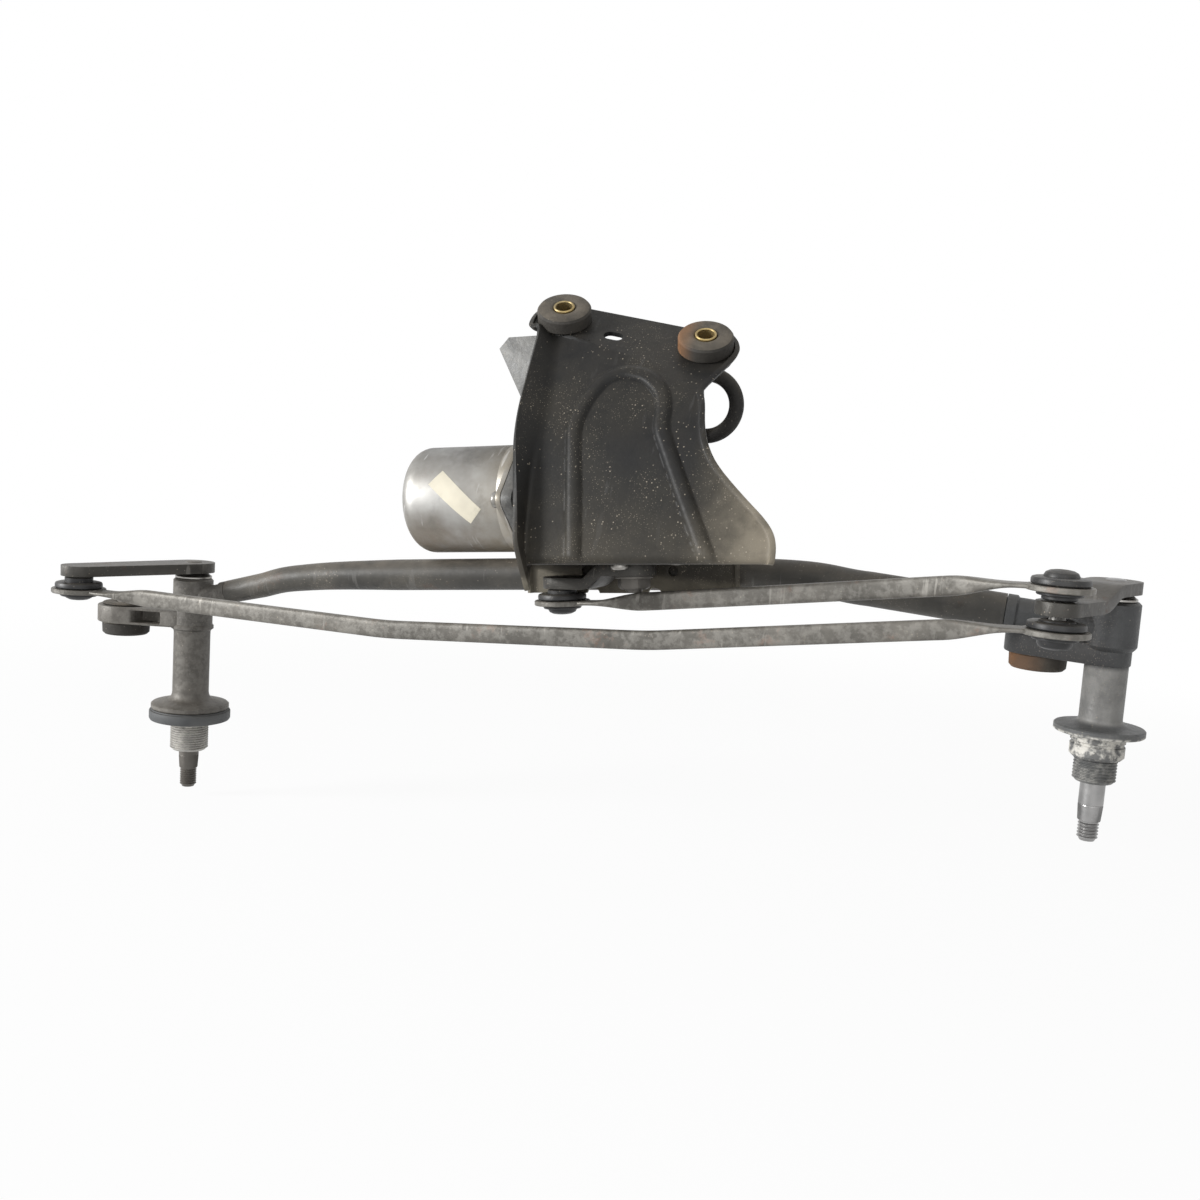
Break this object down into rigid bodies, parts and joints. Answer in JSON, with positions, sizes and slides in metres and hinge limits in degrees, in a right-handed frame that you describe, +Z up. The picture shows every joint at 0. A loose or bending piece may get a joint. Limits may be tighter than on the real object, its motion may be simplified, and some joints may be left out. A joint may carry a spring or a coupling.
{
  "type": "windshield wiper linkage assembly",
  "caption": "Motor-driven windshield wiper assembly: tube frame with pivot housings and spindles, pressed bracket, worm gear motor, crank and ball-jointed links.",
  "frame": {"origin": "middle of the frame tube's straight run, on its axis", "axes": "+X along the frame from the left pivot to the right pivot, +Y away from the viewer of the picture, +Z up along the spindles, whose free ends point down"},
  "size_m": [0.613, 0.1299, 0.31],
  "materials": {
    "black_sheet": "satin black paint on pressed steel, dusty",
    "dusty_tube": "dull dark paint on steel tube, dusty",
    "cast_alloy": "dull die-cast alloy, stained dark",
    "case_alloy": "die-cast alloy, light grey",
    "bare_steel": "bare machined steel",
    "link_steel": "dull plated steel, scuffed",
    "yellow_zinc": "yellow passivated zinc plate",
    "rubber": "black rubber, worn faces",
    "black_plastic": "black moulded plastic",
    "can_steel": "plated drawn steel, grimy",
    "bronze": "sintered bronze",
    "magnet": "dark ferrite and carbon",
    "copper": "copper",
    "board": "green board",
    "gear_plastic": "natural moulded plastic"
  },
  "bodies": {
    "frame": {"frame_tube": "dusty_tube", "motor_bracket": "black_sheet", "left_pivot_housing": "cast_alloy", "right_pivot_housing": "cast_alloy", "left_ear_bush": "rubber", "right_ear_bush": "rubber", "upper_left_bush": "rubber", "upper_right_bush": "rubber", "left_ear_sleeve": "yellow_zinc", "right_ear_sleeve": "yellow_zinc", "upper_left_sleeve": "yellow_zinc", "upper_right_sleeve": "yellow_zinc", "left_seal_ring": "rubber", "left_upper_bearing": "bronze", "left_lower_bearing": "bronze", "right_upper_bearing": "bronze", "right_lower_bearing": "bronze", "motor_can": "can_steel", "gear_housing": "case_alloy", "gear_cover": "black_plastic", "board_cover": "black_plastic", "control_board": "board", "motor_lead": "rubber", "output_bearing": "bronze", "motor_screw_1": "bare_steel", "motor_screw_2": "bare_steel", "motor_screw_3": "bare_steel", "can_screw_1": "bare_steel", "can_screw_2": "bare_steel", "magnet_1": "magnet", "magnet_2": "magnet", "brush_holder": "black_plastic", "brush_1": "magnet", "brush_2": "magnet", "can_bearing": "bronze"},
    "crank": {"output_shaft": "bare_steel", "worm_wheel": "gear_plastic", "crank_arm": "link_steel", "crank_nut": "bare_steel"},
    "armature": {"armature_shaft": "bare_steel", "armature_core": "copper", "commutator": "copper"},
    "right_pivot": {"right_spindle": "bare_steel", "right_lever": "link_steel", "right_ball_stud": "bare_steel", "right_spindle_washer": "bare_steel"},
    "left_pivot": {"left_spindle": "bare_steel", "left_lever": "link_steel", "left_spindle_washer": "bare_steel"},
    "short_link": {"short_link": "link_steel", "short_link_crank_socket": "black_plastic", "short_link_right_socket": "black_plastic", "crank_ball_stud": "bare_steel"},
    "long_link": {"long_link": "link_steel", "long_link_left_socket": "black_plastic", "long_link_right_socket": "black_plastic", "left_ball_stud": "bare_steel"}
  },
  "joints": [
    {"name": "crank_turn", "type": "hinge", "parent": "frame", "child": "crank", "pos_m": [0.03034, -0.033, -0.00733], "axis": [-0.0958, 0, 0.9954], "range_deg": [0, 180]},
    {"name": "right_pivot_turn", "type": "hinge", "parent": "frame", "child": "right_pivot", "pos_m": [0.2635, 0, 0], "axis": [0, 0, 1], "range_deg": [0, 81.72]},
    {"name": "left_pivot_turn", "type": "hinge", "parent": "frame", "child": "left_pivot", "pos_m": [-0.2675, 0, 0], "axis": [0, 0, 1], "range_deg": [0, 80.86]},
    {"name": "short_link_turn", "type": "hinge", "parent": "right_pivot", "child": "short_link", "pos_m": [0.238, -0.07, 0.0217], "axis": [-0.02, -0.0199, 0.9996], "range_deg": [-70.46, 0]},
    {"name": "long_link_turn", "type": "hinge", "parent": "right_pivot", "child": "long_link", "pos_m": [0.238, -0.07, 0.0039], "axis": [0, 0, 1], "range_deg": [-81.12, 0]},
    {"name": "armature_spin", "type": "hinge", "parent": "frame", "child": "armature", "pos_m": [-0.0529, 0, 0.03811], "axis": [0.9954, 0, 0.0958], "continuous": true}
  ],
  "couplings": [
    {"joint": "right_pivot_turn", "follows": "crank_turn", "ratio": 0.45397},
    {"joint": "left_pivot_turn", "follows": "crank_turn", "ratio": 0.44917},
    {"joint": "short_link_turn", "follows": "crank_turn", "ratio": -0.39137},
    {"joint": "long_link_turn", "follows": "crank_turn", "ratio": -0.45061}
  ]
}
